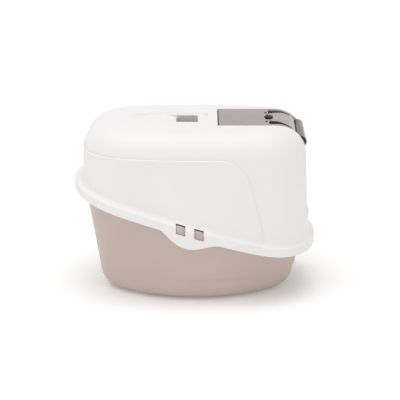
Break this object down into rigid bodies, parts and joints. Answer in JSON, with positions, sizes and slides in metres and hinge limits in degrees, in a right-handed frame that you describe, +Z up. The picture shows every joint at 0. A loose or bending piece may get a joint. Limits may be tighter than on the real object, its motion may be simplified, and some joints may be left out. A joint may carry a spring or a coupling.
{
  "type": "covered litter box",
  "caption": "Covered pet litter box: deep tray, clip-on hood with a hinged smoked roof lid, swing door and filter.",
  "frame": {"origin": "on the floor, at the middle of the box in plan", "axes": "+Z up, +X to the entrance end, +Y across the box"},
  "size_m": [0.5694, 0.3901, 0.41],
  "materials": {
    "tray_plastic": "satin warm grey",
    "hood_plastic": "satin white",
    "smoked_lid_plastic": "smoked clear",
    "smoked_door_plastic": "smoked clear",
    "cover_plastic": "satin white",
    "charcoal_foam": "open foam"
  },
  "bodies": {
    "tray": {"base_tray": "tray_plastic"},
    "hood": {"hood": "hood_plastic"},
    "lid": {"top_lid": "smoked_lid_plastic"},
    "door": {"swing_door": "smoked_door_plastic"},
    "filter": {"filter_cover": "cover_plastic", "carbon_filter": "charcoal_foam"}
  },
  "joints": [
    {"name": "hood_lift", "type": "slide", "parent": "tray", "child": "hood", "axis": [0, 0, 1], "range_m": [0, 0.2]},
    {"name": "lid_hinge", "type": "hinge", "parent": "hood", "child": "lid", "pos_m": [0.06, 0, 0.4047], "axis": [0, -1, 0], "range_deg": [0, 100]},
    {"name": "door_hinge", "type": "hinge", "parent": "hood", "child": "door", "pos_m": [0.246, 0, 0.371], "axis": [0, -1, 0], "range_deg": [-75, 75]},
    {"name": "filter_pull", "type": "slide", "parent": "hood", "child": "filter", "axis": [1, 0, 0], "range_m": [0, 0.03]}
  ]
}
